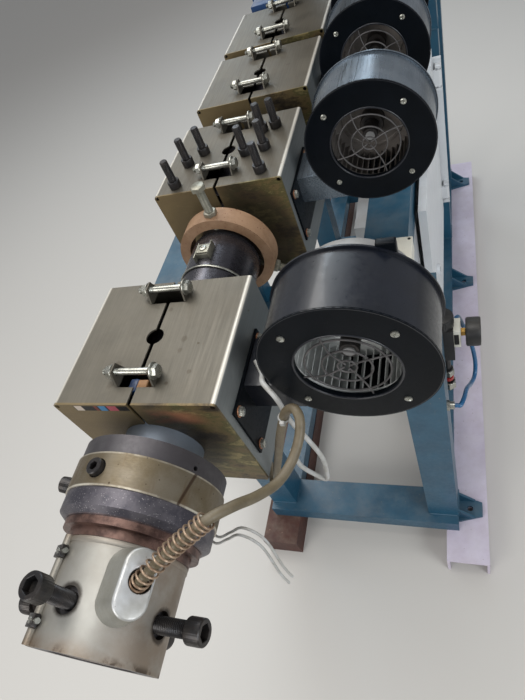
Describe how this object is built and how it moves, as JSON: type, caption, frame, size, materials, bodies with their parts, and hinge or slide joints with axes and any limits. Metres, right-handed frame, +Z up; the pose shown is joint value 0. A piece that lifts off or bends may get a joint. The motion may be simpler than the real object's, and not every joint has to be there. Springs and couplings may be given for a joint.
{
  "type": "plastic extruder",
  "caption": "Plastic extruder on a welded stand: screw barrel with heated, fan-cooled zones under sheet covers, strand die, hopper, gearbox and motor.",
  "frame": {"origin": "on the floor, under the middle of the machine's outline", "axes": "+Y along the barrel from the die towards the drive, +X to the side of the blowers, +Z up"},
  "size_m": [0.584, 2, 1.51],
  "materials": {
    "barrel_steel": "turned, lightly oiled",
    "dark_steel": "rough, dark",
    "clamp_steel": "polished, heat tinted",
    "bright_steel": "brushed, stained",
    "black_oxide": "black oxide, oily",
    "cast_aluminium": "die cast",
    "spring_steel": "tarnished wire",
    "rusty_steel": "rusty",
    "zinc_steel": "zinc plated",
    "zinc_sheet": "galvanised sheet",
    "cover_sheet": "brushed sheet",
    "black_paint": "gloss",
    "guard_wire": "satin",
    "motor_paint": "satin",
    "teal_paint": "satin",
    "lilac_paint": "satin",
    "red_paint": "matte primer",
    "blue_paint": "satin",
    "cabinet_paint": "satin",
    "beige_plastic": "matte",
    "black_plastic": "matte",
    "olive_cable": "matte",
    "white_cable": "braided",
    "blue_tube": "gloss"
  },
  "bodies": {
    "machine": {"barrel": "barrel_steel", "zone_heaters": "dark_steel", "clamp_ring": "clamp_steel", "clamp_screws": "black_oxide", "die_flange": "dark_steel", "die_body": "barrel_steel", "die_insert": "bright_steel", "die_heater": "bright_steel", "heater_clamps": "black_oxide", "terminal_cap": "cast_aluminium", "strain_spring": "spring_steel", "die_screws": "black_oxide", "band_heater": "bright_steel", "steady_ring": "rusty_steel", "steady_bolts": "zinc_steel", "steady_saddle": "teal_paint", "heater_cover_1": "cover_sheet", "heater_cover_2": "cover_sheet", "heater_cover_3": "cover_sheet", "heater_cover_4": "cover_sheet", "cover_bolts": "zinc_steel", "blower_band_1": "black_paint", "blower_band_2": "zinc_sheet", "blower_band_3": "zinc_sheet", "blower_band_4": "zinc_sheet", "blower_faces": "black_paint", "inlet_guards": "guard_wire", "blower_motors": "motor_paint", "duct_flanges": "black_paint", "stand_legs": "teal_paint", "base_frame": "teal_paint", "top_frame": "teal_paint", "foot_brackets": "teal_paint", "floor_channel": "lilac_paint", "runner_beam": "red_paint", "drive_bed": "teal_paint", "feed_throat": "blue_paint", "hopper": "cover_sheet", "gearbox": "blue_paint", "drive_coupling": "dark_steel", "drive_motor": "motor_paint", "control_cabinet": "cabinet_paint", "junction_box": "beige_plastic", "air_regulator": "black_plastic", "tube_fitting": "zinc_steel", "pressure_gauge": "black_plastic", "spare_screws": "black_oxide", "die_cable": "olive_cable", "probe_cable": "white_cable", "lead_wire_1": "white_cable", "lead_wire_2": "white_cable", "air_tube": "blue_tube"},
    "impeller_1": {"impeller_1": "zinc_sheet"},
    "impeller_2": {"impeller_2": "zinc_sheet"},
    "impeller_3": {"impeller_3": "zinc_sheet"},
    "impeller_4": {"impeller_4": "zinc_sheet"},
    "side_door": {"side_door": "cabinet_paint"}
  },
  "joints": [
    {"name": "impeller_1_spin", "type": "hinge", "parent": "machine", "child": "impeller_1", "pos_m": [0.1615, -0.702, 1.085], "axis": [0, 1, 0], "continuous": true},
    {"name": "impeller_2_spin", "type": "hinge", "parent": "machine", "child": "impeller_2", "pos_m": [0.1525, -0.345, 1.085], "axis": [0, 1, 0], "continuous": true},
    {"name": "impeller_3_spin", "type": "hinge", "parent": "machine", "child": "impeller_3", "pos_m": [0.1405, -0.11, 1.085], "axis": [0, 1, 0], "continuous": true},
    {"name": "impeller_4_spin", "type": "hinge", "parent": "machine", "child": "impeller_4", "pos_m": [0.1345, 0.09, 1.085], "axis": [0, 1, 0], "continuous": true},
    {"name": "side_door_hinge", "type": "hinge", "parent": "machine", "child": "side_door", "pos_m": [0.215, 0.332, 0.62], "axis": [0, 0, 1], "range_deg": [0, 95]}
  ]
}
